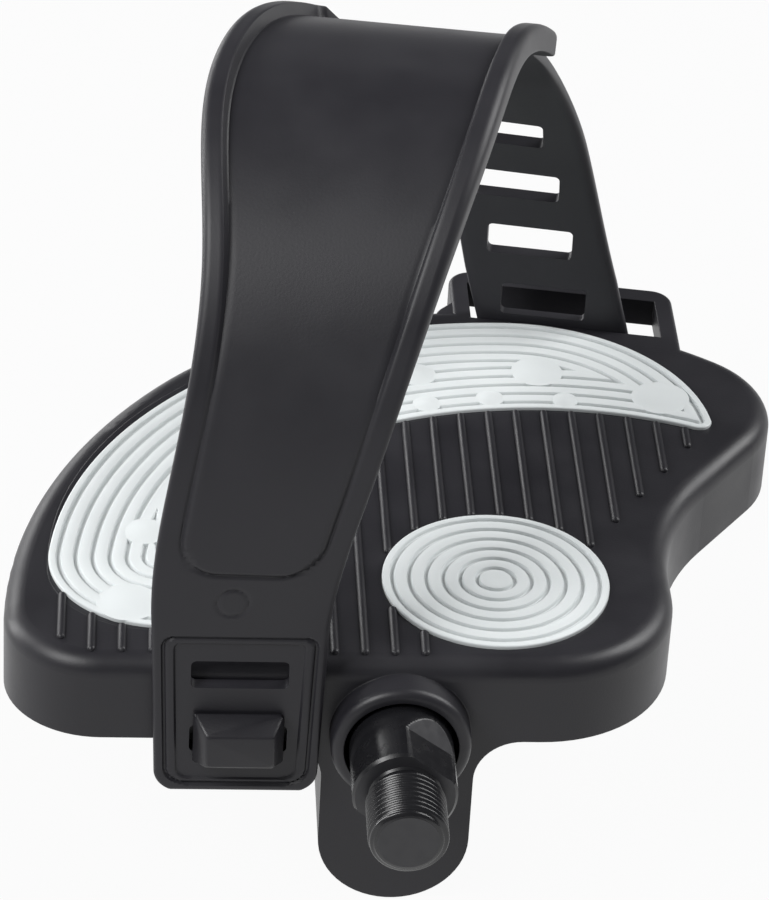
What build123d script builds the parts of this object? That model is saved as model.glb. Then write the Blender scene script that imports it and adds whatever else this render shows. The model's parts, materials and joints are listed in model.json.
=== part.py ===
from build123d import *
import math
import os

# Exercise-bike platform pedal, right-hand side, in millimetres.
# X points to the heel, Y along the spindle away from the crank, Z up.
# The origin is on the spindle's axis, at the shoulder that seats on the crank.

# Spindle
THREAD_DIA = 14.288
THREAD_LENGTH = 12.7
THREAD_CHAMFER = 1.4
COLLAR_DIA = 18.5
COLLAR_LENGTH = 20.0
COLLAR_CHAMFER = 0.4
FLAT_ACROSS = 15.0
FLAT_LENGTH = 9.6
FLAT_ANGLE = 54.0
JOURNAL_DIA = 16.0
SHAFT_DIA = 12.5
SHAFT_TAPER_LENGTH = 12.0
NUT_THREAD_LENGTH = 9.0

# Hub and its running parts
BOSS_FRONT = 13.2
BOSS_DIA = 25.0
BOSS_EDGE = 1.6
BOSS_BORE_DIA = 20.4
HUB_BORE_DIA = 18.0
HUB_END = 140.0
SEAT_CLEARANCE = 0.05
RUNNING_CLEARANCE = 0.05
SEAL_START = 24.0
SEAL_LENGTH = 2.8
SEAL_LIP_CLEARANCE = 0.3
BUSH_LENGTH = 16.0
BEARING_BORE = 10.0
BEARING_OUTSIDE = 19.0
BEARING_WIDTH = 5.0
BEARING_INSET = 22.0
BALL_DIA = 2.6
BALL_COUNT = 7
RING_SHOULDER = 1.25
CAGE_THICKNESS = 0.9
SHIELD_THICKNESS = 0.3
SHIELD_INSET = 0.15
WASHER_THICKNESS = 1.2
WASHER_DIA = 15.6
NUT_ACROSS = 15.0
NUT_HEIGHT = 6.0
CAP_RIM_DIA = 22.0
CAP_RIM_THICKNESS = 1.6
CAP_WALL = 1.6
CAP_DEPTH = 7.0

# Platform plan
NEAR_WALL = 18.6
LEFT_EDGE = -70.5
LEFT_CORNER = 17.5
HEEL_FLANK = 50.1
HEEL_CORNER = 25.0
FLARE_RADIUS = 47.5
FLARE_ANGLE = 37.0
WING_EDGE = 75.1
WING_CENTRE = 105.6
WING_RADIUS = 21.0
FAR_RADIUS = 80.0
TOE_SIDE_RADIUS = 116.0

# Platform section
TOP = 14.6
BOTTOM = -2.0
TOP_EDGE = 3.7
SKIN = 3.2
WALL = 3.0
RIB_THICKNESS = 2.4
UNDER_RIB_BOTTOM = -1.0
CROSS_RIBS = [46.0, 74.0, 102.0]
LONG_RIBS = [-44.0, 36.0]

# Keel with its weight
KEEL_HALF_WIDTH = 13.6
KEEL_BOTTOM = -37.8
KEEL_LENGTH = 82.0
KEEL_FILLET = 8.5
POCKET_TOP = -14.2
POCKET_CLEARANCE = 0.15
COVER_THICKNESS = 2.5
SCREW_DIA = 3.0
SCREW_HEAD_DIA = 5.6
SCREW_HEAD_HEIGHT = 1.5
SCREW_LENGTH = 9.0

# Tread
PAD_PROUD = 0.7
PAD_SEAT = 1.2
PAD_CLEARANCE = 0.1
GROOVE_PITCH = 3.09
GROOVE_WIDTH = 1.0
GROOVE_DEPTH = 0.5
FIRST_GROOVE = 1.85
ROUND_GROOVES = 6
ROUND_PAD_CENTRE = (17.8, 44.3)
ROUND_PAD_DIA = 41.2
RIB_PITCH = 5.35
RIB_FIRST = -60.16
RIB_COUNT = 23
RIB_WIDTH = 0.9
RIB_HEIGHT = 0.6
RIB_PAD_GAP = 1.0
RIB_CUT_NEAR = 6.7
RIB_CUT_START = (36.0, 56.5)
RIB_CUT_END = (60.0, 94.5)

# Crescent pad, drawn with tangent arcs
NOSE_CENTRE = (25.27, 94.44)
NOSE_RADIUS = 37.3
TOE_CENTRE = (-44.04, 47.42)
TOE_RADIUS = 18.9
OUTER_RADIUS = 83.1
INNER_CENTRE = (30.0, 26.0)
INNER_RADIUS = 75.3
INNER_TOE_RADIUS = 30.0
NOSE_TIP = 2.5
DOMES = [(30.5, 114.3, 5.0), (8.4, 102.2, 2.7), (20.7, 104.6, 2.7), (35.2, 104.3, 2.5),
         (53.5, 105.7, 5.0), (7.0, 112.5, 3.8), (-45.5, 57.8, 4.0), (-48.5, 35.5, 5.2)]
DOME_RISE = 0.5

# Strap
STRAP_THICKNESS = 3.0
STRAP_GAP = 0.2
STRAP_END_WIDTH = 29.6
STRAP_CORNER = 4.0
TAB_BELOW_HOOK = 11.0
NEAR_TAB_ABOVE_HOOK = 23.8
FAR_TAB_ABOVE_HOOK = 19.8
NEAR_TAB_X = -29.0
FAR_LEAN = 15.0
SLOT_LENGTH = 17.1
SLOT_WIDTH = 5.8
NEAR_SLOT_PITCH = 13.9
NEAR_SLOTS = 2
FAR_SLOT_PITCH = 14.2
FAR_SLOTS = 5
PANEL_INSET = 1.8
PANEL_DEPTH = 0.5
STRAP_SECTIONS = 19
RIM_WIDTH = 4.2
RIM_EDGE = 0.4
RIM_HEIGHT = 1.8
RIM_START = 13.5
RIM_LENGTH = 136.5
RIM_SECTIONS = 9
RIM_RISING = 4
# Points on the middle of the strap between its two tabs: place, width, turn in plan, roll
STRAP_PATH = [
    ((-24.6, 19.1, 53.8), 34.1, -5.7, 0.7),
    ((-17.0, 32.5, 86.5), 40.4, -9.1, 1.5),
    ((-12.1, 54.5, 103.1), 49.5, -10.9, 2.4),
    ((-5.1, 80.4, 105.2), 50.2, -12.0, 3.0),
    ((5.3, 104.1, 93.2), 47.3, -15.0, 2.2),
    ((15.2, 122.6, 74.2), 38.0, -14.8, 1.1),
    ((24.4, 131.8, 50.9), 29.4, -12.5, 0.4),
]

# Hooks and the far loop
NEAR_HOOK_HEIGHT = 0.2
FAR_HOOK_HEIGHT = 5.6
HOOK_NECK_WIDTH = 14.6
HOOK_NECK_HEIGHT = 4.4
HOOK_HEAD_WIDTH = 15.4
HOOK_HEAD_TOP = 5.9
HOOK_HEAD_BOTTOM = -2.4
HOOK_HEAD_DEPTH = 4.2
HOOK_FACE_WIDTH = 10.7
HOOK_FACE_TOP = 3.8
LOOP_ANGLE = -9.5
LOOP_SEAT_X = 36.0
LOOP_SEAT_Y = 132.2
LOOP_LEFT = 19.0
LOOP_RIGHT = 56.3
LOOP_DEPTH = 13.4
LOOP_SIDE = 3.6
LOOP_BAR = 4.8
LOOP_HEIGHT = 5.6
LOOP_CORNER = 4.5
LOOP_EDGE = 1.0


def turned(profile):
    """A solid of revolution about the spindle's axis, from (radius, y) points."""
    face = make_face(Polyline(*profile, close=True))
    return revolve(face, Axis.Y)


def ring(outside, bore, start, end):
    """A plain ring about the spindle's axis, by diameters."""
    return turned([(bore / 2, start), (outside / 2, start), (outside / 2, end), (bore / 2, end)])


def disc(diameter, start, end):
    """A plain disc on the spindle's axis."""
    return turned([(0, start), (diameter / 2, start), (diameter / 2, end), (0, end)])


def block(low, high):
    """A box between two corners."""
    size = [b - a for a, b in zip(low, high)]
    middle = [(a + b) / 2 for a, b in zip(low, high)]
    return Pos(*middle) * Box(*size)


def prism(face, low, high):
    """A face in the XY plane raised between two heights."""
    return Pos(0, 0, low) * extrude(face, high - low, dir=(0, 0, 1))


def along(start, towards, distance):
    """The point at a distance from start, in the direction of another point."""
    a = Vector(*start)
    return a + (Vector(*towards) - a).normalized() * distance


def centre_between(first, first_distance, second, second_distance):
    """The point at given distances from two points, to the right of the line between them."""
    a, b = Vector(*first), Vector(*second)
    span = (b - a).length
    foot = (first_distance ** 2 - second_distance ** 2 + span ** 2) / (2 * span)
    rise = math.sqrt(first_distance ** 2 - foot ** 2)
    unit = (b - a).normalized()
    return a + unit * foot + Vector(unit.Y, -unit.X) * rise


def arc_between(centre, start, end, clockwise=False):
    """The arc about a centre from one point to another."""
    middle = Vector(*centre)
    a, b = Vector(*start) - middle, Vector(*end) - middle
    first = math.degrees(math.atan2(a.Y, a.X))
    sweep = (math.degrees(math.atan2(b.Y, b.X)) - first) % 360
    if clockwise:
        sweep -= 360
    return CenterArc((middle.X, middle.Y), a.length, first, sweep)


# Spindle and bearing places that follow from the sizes above
BUSH_START = SEAL_START + SEAL_LENGTH
BUSH_END = BUSH_START + BUSH_LENGTH
BEARING_START = HUB_END - BEARING_INSET
BEARING_END = BEARING_START + BEARING_WIDTH
WASHER_END = BEARING_END + WASHER_THICKNESS
NUT_END = WASHER_END + NUT_HEIGHT
SPINDLE_END = WASHER_END + NUT_THREAD_LENGTH
BALL_CIRCLE = (BEARING_BORE + BEARING_OUTSIDE) / 2
BALL_MIDDLE = BEARING_START + BEARING_WIDTH / 2


def make_spindle():
    thread, collar = THREAD_DIA / 2, COLLAR_DIA / 2
    journal, shaft = JOURNAL_DIA / 2, SHAFT_DIA / 2
    nose = BEARING_BORE / 2 - SEAT_CLEARANCE
    body = turned([
        (0, -THREAD_LENGTH),
        (thread - THREAD_CHAMFER, -THREAD_LENGTH),
        (thread, -THREAD_LENGTH + THREAD_CHAMFER),
        (thread, 0),
        (collar - COLLAR_CHAMFER, 0),
        (collar, COLLAR_CHAMFER),
        (collar, COLLAR_LENGTH),
        (journal, COLLAR_LENGTH),
        (journal, BUSH_END),
        (shaft, BUSH_END + SHAFT_TAPER_LENGTH),
        (shaft, BEARING_START),
        (nose, BEARING_START),
        (nose, SPINDLE_END - THREAD_CHAMFER / 2),
        (nose - THREAD_CHAMFER / 2, SPINDLE_END),
        (0, SPINDLE_END),
    ])
    waste = block((FLAT_ACROSS / 2, 0, -COLLAR_DIA), (COLLAR_DIA, FLAT_LENGTH, COLLAR_DIA))
    flat = Rot(0, -FLAT_ANGLE, 0) * waste
    return body - flat - Rot(0, 180, 0) * flat


def make_bearing():
    """The ball bearing at the outboard end: rings with ball tracks, balls, cage and shields."""
    track_torus = Torus(BALL_CIRCLE / 2, BALL_DIA / 2 + RUNNING_CLEARANCE)
    track = Pos(0, BALL_MIDDLE, 0) * Rot(90, 0, 0) * track_torus
    inner_outside = BEARING_BORE + 2 * RING_SHOULDER
    outer_bore = BEARING_OUTSIDE - 2 * RING_SHOULDER
    outer = ring(BEARING_OUTSIDE, outer_bore, BEARING_START, BEARING_END) - track
    inner = ring(inner_outside, BEARING_BORE, BEARING_START, BEARING_END) - track
    balls, pockets = [], []
    for index in range(BALL_COUNT):
        turn = Rot(0, index * 360 / BALL_COUNT, 0)
        balls.append(turn * Pos(BALL_CIRCLE / 2, BALL_MIDDLE, 0) * Sphere(BALL_DIA / 2))
        hole = Cylinder(BALL_DIA / 2 + RUNNING_CLEARANCE, BALL_DIA)
        pockets.append(turn * Pos(BALL_CIRCLE / 2, BALL_MIDDLE, 0) * Rot(0, 90, 0) * hole)
    half = BEARING_WIDTH / 2 - SHIELD_INSET - SHIELD_THICKNESS - 2 * RUNNING_CLEARANCE
    cage_outside, cage_bore = BALL_CIRCLE + CAGE_THICKNESS, BALL_CIRCLE - CAGE_THICKNESS
    cage = ring(cage_outside, cage_bore, BALL_MIDDLE - half, BALL_MIDDLE + half)
    for pocket in pockets:
        cage -= pocket
    shield_outside = outer_bore - 2 * SEAT_CLEARANCE
    shield_bore = inner_outside + 2 * SEAL_LIP_CLEARANCE
    shields = []
    for start in (BEARING_START + SHIELD_INSET, BEARING_END - SHIELD_INSET - SHIELD_THICKNESS):
        shields.append(ring(shield_outside, shield_bore, start, start + SHIELD_THICKNESS))
    return outer, inner, balls, cage, shields


def make_lock_nut():
    hexagon = RegularPolygon(NUT_ACROSS / 2, 6, major_radius=False)
    nut = Pos(0, NUT_END, 0) * Rot(90, 0, 0) * extrude(hexagon, NUT_HEIGHT)
    return nut - disc(BEARING_BORE, WASHER_END, NUT_END)


def make_dust_cap():
    plug = BEARING_OUTSIDE / 2 - SEAT_CLEARANCE
    rim = CAP_RIM_DIA / 2
    end = HUB_END + CAP_RIM_THICKNESS
    return turned([
        (0, HUB_END), (plug - CAP_WALL, HUB_END), (plug - CAP_WALL, HUB_END - CAP_DEPTH),
        (plug, HUB_END - CAP_DEPTH), (plug, HUB_END), (rim, HUB_END),
        (rim, end - CAP_RIM_THICKNESS / 2), (rim - CAP_RIM_THICKNESS / 2, end), (0, end),
    ])


def platform_face():
    """The platform's plan, all tangent: near edge, heel, flare, wing, far arc, toe arc and corner."""
    flare = math.radians(FLARE_ANGLE)
    wing_middle = (WING_EDGE - WING_RADIUS, WING_CENTRE)
    wing_start = (wing_middle[0] + WING_RADIUS * math.cos(flare),
                  WING_CENTRE - WING_RADIUS * math.sin(flare))
    flare_end_x = HEEL_FLANK + FLARE_RADIUS * (1 - math.cos(flare))
    run = (wing_start[0] - flare_end_x) / math.sin(flare)
    flare_start_y = wing_start[1] - run * math.cos(flare) - FLARE_RADIUS * math.sin(flare)
    near = Line((LEFT_EDGE + LEFT_CORNER, NEAR_WALL), (HEEL_FLANK - HEEL_CORNER, NEAR_WALL))
    heel = JernArc(near @ 1, (1, 0), HEEL_CORNER, 90)
    flank = Line(heel @ 1, (HEEL_FLANK, flare_start_y))
    flared = JernArc(flank @ 1, (0, 1), FLARE_RADIUS, -FLARE_ANGLE)
    rising = Line(flared @ 1, wing_start)
    toe_end = (LEFT_EDGE, NEAR_WALL + LEFT_CORNER)
    toe_middle = (LEFT_EDGE + TOE_SIDE_RADIUS, toe_end[1])
    far_middle = centre_between(wing_middle, FAR_RADIUS - WING_RADIUS,
                                toe_middle, TOE_SIDE_RADIUS - FAR_RADIUS)
    wing_end = along(far_middle, wing_middle, FAR_RADIUS)
    toe_start = along(toe_middle, far_middle, TOE_SIDE_RADIUS)
    wing = arc_between(wing_middle, wing_start, wing_end)
    far = arc_between(far_middle, wing_end, toe_start)
    toe = arc_between(toe_middle, toe_start, toe_end)
    corner = JernArc(toe_end, (0, -1), LEFT_CORNER, 90)
    return make_face([near, heel, flank, flared, rising, wing, far, toe, corner])


def outer_centre():
    """The middle of the crescent pad's long outer arc."""
    return centre_between(TOE_CENTRE, OUTER_RADIUS - TOE_RADIUS,
                          NOSE_CENTRE, OUTER_RADIUS - NOSE_RADIUS)


def inner_toe_centre():
    """The middle of the short arc that leads the crescent pad's inner edge round to the toe."""
    return centre_between(INNER_CENTRE, INNER_RADIUS - INNER_TOE_RADIUS,
                          TOE_CENTRE, INNER_TOE_RADIUS + TOE_RADIUS)


def crescent_face(inset=0.0):
    """The crescent pad's plan, from five tangent arcs and a rounded tip, or an outline inside it."""
    outer, inner_toe = outer_centre(), inner_toe_centre()
    tip = centre_between(INNER_CENTRE, INNER_RADIUS + inset, NOSE_CENTRE, NOSE_RADIUS - inset)
    nose_end = along(outer, NOSE_CENTRE, OUTER_RADIUS - inset)
    toe_start = along(outer, TOE_CENTRE, OUTER_RADIUS - inset)
    toe_end = along(TOE_CENTRE, inner_toe, TOE_RADIUS - inset)
    inner_join = along(INNER_CENTRE, inner_toe, INNER_RADIUS + inset)
    face = make_face([
        arc_between(NOSE_CENTRE, tip, nose_end),
        arc_between(outer, nose_end, toe_start),
        arc_between(TOE_CENTRE, toe_start, toe_end),
        arc_between(inner_toe, toe_end, inner_join, clockwise=True),
        arc_between(INNER_CENTRE, inner_join, tip, clockwise=True),
    ])
    if inset < NOSE_TIP:
        corner = face.vertices().sort_by_distance((tip.X, tip.Y, 0))[0]
        face = fillet(corner, NOSE_TIP - inset)
    return face


def round_face(extra=0.0):
    return Pos(*ROUND_PAD_CENTRE) * Circle(ROUND_PAD_DIA / 2 + extra)


def make_crescent_pad():
    """The crescent tread insert: grooves that follow its outline, and low domes between them."""
    face = crescent_face()
    low, high = TOP - PAD_SEAT, TOP + PAD_PROUD
    pad = prism(face, low, high)
    half_width = (math.dist(INNER_CENTRE, NOSE_CENTRE) - INNER_RADIUS + NOSE_RADIUS) / 2
    neck = (OUTER_RADIUS - INNER_TOE_RADIUS - (outer_centre() - inner_toe_centre()).length) / 2
    deepest = min(half_width, neck, TOE_RADIUS) - GROOVE_WIDTH / 2
    studs = [Pos(x, y) * Circle(radius) for x, y, radius in DOMES]
    for index in range(math.floor((deepest - FIRST_GROOVE) / GROOVE_PITCH) + 1):
        depth_in = FIRST_GROOVE + index * GROOVE_PITCH - GROOVE_WIDTH / 2
        groove = crescent_face(depth_in) - crescent_face(depth_in + GROOVE_WIDTH) - studs
        pad -= prism(groove, high - GROOVE_DEPTH, high)
    for x, y, radius in DOMES:
        ball = (radius ** 2 + DOME_RISE ** 2) / (2 * DOME_RISE)
        cap = Pos(x, y, high + DOME_RISE - ball) * Sphere(ball)
        pad += cap & prism(face & (Pos(x, y) * Circle(radius)), high, high + 2 * DOME_RISE)
    return pad


def make_round_pad():
    """The round tread insert with concentric ring grooves."""
    low, high = TOP - PAD_SEAT, TOP + PAD_PROUD
    pad = prism(round_face(), low, high)
    for index in range(ROUND_GROOVES):
        radius = ROUND_PAD_DIA / 2 - FIRST_GROOVE - index * GROOVE_PITCH
        groove = Circle(radius + GROOVE_WIDTH / 2) - Circle(radius - GROOVE_WIDTH / 2)
        pad -= prism(Pos(*ROUND_PAD_CENTRE) * groove, high - GROOVE_DEPTH, high)
    return pad


def tread_ribs(plan):
    """Fine ribs along the spindle, clear of both pads, the rounded edge and the smooth heel."""
    outer = outer_centre()
    top = INNER_CENTRE[1] + INNER_RADIUS
    field = offset(plan, -TOP_EDGE) & (Pos(outer.X, outer.Y) * Circle(OUTER_RADIUS))
    field -= crescent_face(-RIB_PAD_GAP)
    field -= round_face(RIB_PAD_GAP)
    field -= make_face(Polyline(
        (RIB_CUT_NEAR, 0), (RIB_CUT_NEAR, ROUND_PAD_CENTRE[1]), RIB_CUT_START, RIB_CUT_END,
        (WING_EDGE, RIB_CUT_END[1]), (WING_EDGE, 0), close=True))
    stripes = []
    for index in range(RIB_COUNT):
        stripes.append(Pos(RIB_FIRST + index * RIB_PITCH, top / 2) * Rectangle(RIB_WIDTH, top))
    ribs = Sketch() + stripes
    return prism(ribs & field, TOP - RIB_HEIGHT, TOP + RIB_HEIGHT)


def front_prism(face, start, end):
    """A face drawn in X and Z, pushed along the spindle's axis."""
    return Pos(0, start, 0) * extrude(Rot(90, 0, 0) * face, end - start, dir=(0, 1, 0))


def keel_face(inset=0.0, top=0.0):
    """The keel's front view: straight sides and a full round bottom, up to a given height."""
    half = KEEL_HALF_WIDTH - inset
    middle = KEEL_BOTTOM + KEEL_HALF_WIDTH
    sides = Pos(0, (middle + top) / 2) * Rectangle(2 * half, top - middle)
    below = Pos(0, (KEEL_BOTTOM + top) / 2) * Rectangle(2 * half, top - KEEL_BOTTOM)
    return (sides + Pos(0, middle) * Circle(half)) & below


KEEL_END = NEAR_WALL + KEEL_LENGTH
SCREW_SPREAD = (KEEL_HALF_WIDTH - WALL) / 2
SCREW_PLACES = [(side * SCREW_SPREAD, KEEL_BOTTOM + KEEL_HALF_WIDTH) for side in (-1, 1)]


def make_keel():
    """The hollow keel under the hub, with the fillets that run into the near wall."""
    keel = front_prism(keel_face(), NEAR_WALL, KEEL_END)
    half = KEEL_HALF_WIDTH + KEEL_FILLET + WALL
    apron = Pos(0, BOTTOM / 2) * Rectangle(2 * half, -BOTTOM) + keel_face()
    roots = [v for v in apron.vertices() if abs(v.Y - BOTTOM) < 0.01 and abs(v.X) < half - WALL / 2]
    return keel + front_prism(fillet(roots, KEEL_FILLET), NEAR_WALL, NEAR_WALL + WALL)


def keel_pocket(clearance=0.0):
    face = keel_face(WALL + clearance, POCKET_TOP - clearance)
    return front_prism(face, NEAR_WALL + WALL + clearance, KEEL_END)


def screw_holes(diameter, start, end):
    holes = Sketch() + [Pos(*place) * Circle(diameter / 2) for place in SCREW_PLACES]
    return front_prism(holes, start, end)


def make_counterweight():
    return keel_pocket(POCKET_CLEARANCE) - screw_holes(SCREW_DIA + SEAT_CLEARANCE, NEAR_WALL, KEEL_END)


def make_counterweight_cover():
    face = keel_face(WALL / 2, POCKET_TOP + WALL / 2)
    plate = front_prism(face, KEEL_END, KEEL_END + COVER_THICKNESS)
    return plate - screw_holes(SCREW_DIA + SEAT_CLEARANCE, KEEL_END, KEEL_END + COVER_THICKNESS)


def make_cover_screws():
    seat = KEEL_END + COVER_THICKNESS
    shanks = screw_holes(SCREW_DIA, seat - SCREW_LENGTH, seat)
    return shanks + screw_holes(SCREW_HEAD_DIA, seat, seat + SCREW_HEAD_HEIGHT)


def upright(width, bottom, top, y):
    """A rectangle that stands across the Y axis."""
    return Pos(0, y, (bottom + top) / 2) * Rot(90, 0, 0) * Rectangle(width, top - bottom)


def strap_hook():
    """A strap button on a wall at the origin that faces -Y: a neck and a bevelled head."""
    neck_end = -(STRAP_THICKNESS + 2 * STRAP_GAP)
    half_width, half_height = HOOK_NECK_WIDTH / 2, HOOK_NECK_HEIGHT / 2
    neck = block((-half_width, neck_end, -half_height), (half_width, WALL / 2, half_height))
    back = upright(HOOK_HEAD_WIDTH, HOOK_HEAD_BOTTOM, HOOK_HEAD_TOP, neck_end)
    face = upright(HOOK_FACE_WIDTH, HOOK_HEAD_BOTTOM, HOOK_FACE_TOP, neck_end - HOOK_HEAD_DEPTH)
    return neck + loft([back, face])


LOOP_PLACE = Pos(LOOP_SEAT_X, LOOP_SEAT_Y, FAR_HOOK_HEIGHT) * Rot(0, 0, LOOP_ANGLE)


def seat_y(x):
    """The far seat's place along Y, at a place across the platform."""
    return LOOP_SEAT_Y + (x - LOOP_SEAT_X) * math.tan(math.radians(LOOP_ANGLE))


def loop_face(left, right, near, far):
    """A four-sided face at the far edge: its ends follow the strap's seat, its sides run along Y."""
    return make_face(Polyline(
        (left, seat_y(left) + near), (right, seat_y(right) + near),
        (right, seat_y(right) + far), (left, seat_y(left) + far), close=True))


def far_loop():
    """The far strap loop: a flat slab with round corners, which runs into the platform's top."""
    outline = loop_face(LOOP_LEFT - LOOP_SIDE, LOOP_RIGHT + LOOP_SIDE,
                        -WALL - TOP_EDGE, LOOP_DEPTH + LOOP_BAR)
    outline = fillet(outline.vertices().sort_by(Axis.Y)[-2:], LOOP_CORNER)
    slab = prism(outline, TOP - LOOP_HEIGHT, TOP)
    return fillet(slab.edges().group_by(Axis.Z)[-1], LOOP_EDGE)


def make_pedal_body():
    plan = platform_face()
    shell = prism(plan, BOTTOM, TOP)
    shell = fillet(shell.edges().group_by(Axis.Z)[-1], TOP_EDGE) + far_loop()
    inside = offset(plan, -WALL)
    shell -= prism(inside, BOTTOM, TOP - SKIN)
    web = prism(offset(plan, -WALL / 2), UNDER_RIB_BOTTOM, TOP - SKIN / 2)
    half = RIB_THICKNESS / 2
    for y in CROSS_RIBS:
        shell += web & block((LEFT_EDGE, y - half, BOTTOM), (WING_EDGE, y + half, TOP))
    for x in LONG_RIBS:
        shell += web & block((x - half, NEAR_WALL, BOTTOM), (x + half, HUB_END, TOP))
    seat = loop_face(LOOP_LEFT - LOOP_SIDE, LOOP_RIGHT + LOOP_SIDE, -WALL, 0) & plan
    shell += prism(seat, BOTTOM, TOP - SKIN)
    shell -= prism(loop_face(LOOP_LEFT, LOOP_RIGHT, 0, LOOP_DEPTH), BOTTOM, TOP)
    shell += make_keel()
    hub = disc(BOSS_DIA, BOSS_FRONT, HUB_END)
    shell += fillet(hub.edges().sort_by(Axis.Y)[0], BOSS_EDGE)
    shell -= disc(BOSS_BORE_DIA, BOSS_FRONT, BUSH_END)
    shell -= disc(HUB_BORE_DIA, BUSH_END, BEARING_START)
    shell -= disc(BEARING_OUTSIDE + 2 * SEAT_CLEARANCE, BEARING_START, HUB_END)
    shell -= keel_pocket()
    shell -= prism(crescent_face(-PAD_CLEARANCE), TOP - PAD_SEAT, TOP)
    shell -= prism(round_face(PAD_CLEARANCE), TOP - PAD_SEAT, TOP)
    shell += tread_ribs(plan)
    shell += Pos(NEAR_TAB_X, NEAR_WALL, NEAR_HOOK_HEIGHT) * strap_hook()
    shell += LOOP_PLACE * Rot(0, 0, 180) * strap_hook()
    return shell


# The strap's two straight ends, each from its hook, and the curved length between them
STRAP_MIDDLE = STRAP_GAP + STRAP_THICKNESS / 2
NEAR_TAB = Pos(NEAR_TAB_X, NEAR_WALL - STRAP_MIDDLE, NEAR_HOOK_HEIGHT)
FAR_TAB = LOOP_PLACE * Pos(0, STRAP_MIDDLE, 0) * Rot(0, 0, 180)
FAR_SHIFT = math.tan(math.radians(FAR_LEAN))
NEAR_TOP = NEAR_TAB * Pos(0, 0, NEAR_TAB_ABOVE_HOOK)
FAR_TOP = FAR_TAB * Pos(FAR_SHIFT * FAR_TAB_ABOVE_HOOK, 0, FAR_TAB_ABOVE_HOOK)
STRAP_LINE = Spline(
    NEAR_TOP.position, *[place for place, width, turn, roll in STRAP_PATH], FAR_TOP.position,
    tangents=((0, 0, 1), FAR_TAB.position - FAR_TOP.position))
STRAP_KNOTS = [0.0] + [STRAP_LINE.param_at_point(place) for place, width, turn, roll in STRAP_PATH] + [1.0]
STRAP_WIDTHS = [STRAP_END_WIDTH] + [width for place, width, turn, roll in STRAP_PATH] + [STRAP_END_WIDTH]
STRAP_TURNS = [0.0] + [turn for place, width, turn, roll in STRAP_PATH] + [LOOP_ANGLE]
STRAP_ROLLS = [0.0] + [roll for place, width, turn, roll in STRAP_PATH] + [0.0]


def between_knots(values, share):
    """A value along the strap, straight between the listed points."""
    for index in range(1, len(STRAP_KNOTS)):
        first, last = STRAP_KNOTS[index - 1], STRAP_KNOTS[index]
        if share <= last:
            part = (share - first) / (last - first)
            return values[index - 1] + (values[index] - values[index - 1]) * part
    return values[-1]


def strap_plane(share):
    """The cross-section's plane: X across the strap, Y out of its upper face."""
    turn = math.radians(between_knots(STRAP_TURNS, share))
    roll = math.radians(between_knots(STRAP_ROLLS, share))
    across = Vector(math.cos(turn) * math.cos(roll), math.sin(turn) * math.cos(roll), math.sin(roll))
    outward = across.cross(STRAP_LINE % share).normalized()
    return Plane(origin=STRAP_LINE @ share, x_dir=across, z_dir=across.cross(outward))


def strap_band():
    """The curved length, lofted through even steps along the strap."""
    sections = []
    for index in range(STRAP_SECTIONS):
        share = index / (STRAP_SECTIONS - 1)
        width = between_knots(STRAP_WIDTHS, share)
        sections.append(strap_plane(share) * Rectangle(width, STRAP_THICKNESS))
    return loft(sections)


def strap_rim(side):
    """A raised rim along one edge of the strap, which grows from nothing towards the crest."""
    sections = []
    for index in range(RIM_SECTIONS):
        share = (RIM_START + RIM_LENGTH * index / (RIM_SECTIONS - 1)) / STRAP_LINE.length
        middle = side * (between_knots(STRAP_WIDTHS, share) / 2 - RIM_EDGE - RIM_WIDTH / 2)
        height = STRAP_THICKNESS / 2 + RIM_HEIGHT * min(1, (index + 1) / RIM_RISING)
        sections.append(strap_plane(share) * Pos(middle, height / 2) * Rectangle(RIM_WIDTH, height))
    return loft(sections)


def leaning_face(width, bottom, top, shift):
    """A face in X and Z whose sides shift across as they rise."""
    half = width / 2
    return make_face(Polyline(
        (bottom * shift - half, bottom), (bottom * shift + half, bottom),
        (top * shift + half, top), (top * shift - half, top), close=True))


def strap_tab(top, shift=0.0):
    """A straight strap end about its hook slot: round lower corners, a sunk panel on its -Y face."""
    outline = leaning_face(STRAP_END_WIDTH, -TAB_BELOW_HOOK, top, shift)
    outline = fillet(outline.vertices().group_by(Axis.Y)[0], STRAP_CORNER)
    tab = front_prism(outline, -STRAP_THICKNESS / 2, STRAP_THICKNESS / 2)
    panel_width = STRAP_END_WIDTH - 2 * PANEL_INSET
    panel = leaning_face(panel_width, PANEL_INSET - TAB_BELOW_HOOK, top - PANEL_INSET, shift)
    panel = fillet(panel.vertices(), STRAP_CORNER)
    return tab - front_prism(panel, -STRAP_THICKNESS / 2, -STRAP_THICKNESS / 2 + PANEL_DEPTH)


def make_strap():
    slot = Box(SLOT_LENGTH, 2 * STRAP_THICKNESS, SLOT_WIDTH)
    near = strap_tab(NEAR_TAB_ABOVE_HOOK)
    for index in range(NEAR_SLOTS):
        near -= Pos(0, 0, index * NEAR_SLOT_PITCH) * slot
    strap = strap_band() + NEAR_TAB * near + FAR_TAB * strap_tab(FAR_TAB_ABOVE_HOOK, FAR_SHIFT)
    strap += [strap_rim(-1), strap_rim(1)]
    for index in range(FAR_SLOTS):
        rise = index * FAR_SLOT_PITCH
        if rise < FAR_TAB_ABOVE_HOOK:
            strap -= FAR_TAB * Pos(FAR_SHIFT * rise, 0, rise) * slot
        else:
            plane = strap_plane(1 - (rise - FAR_TAB_ABOVE_HOOK) / STRAP_LINE.length)
            strap -= plane * slot
    return strap


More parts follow.
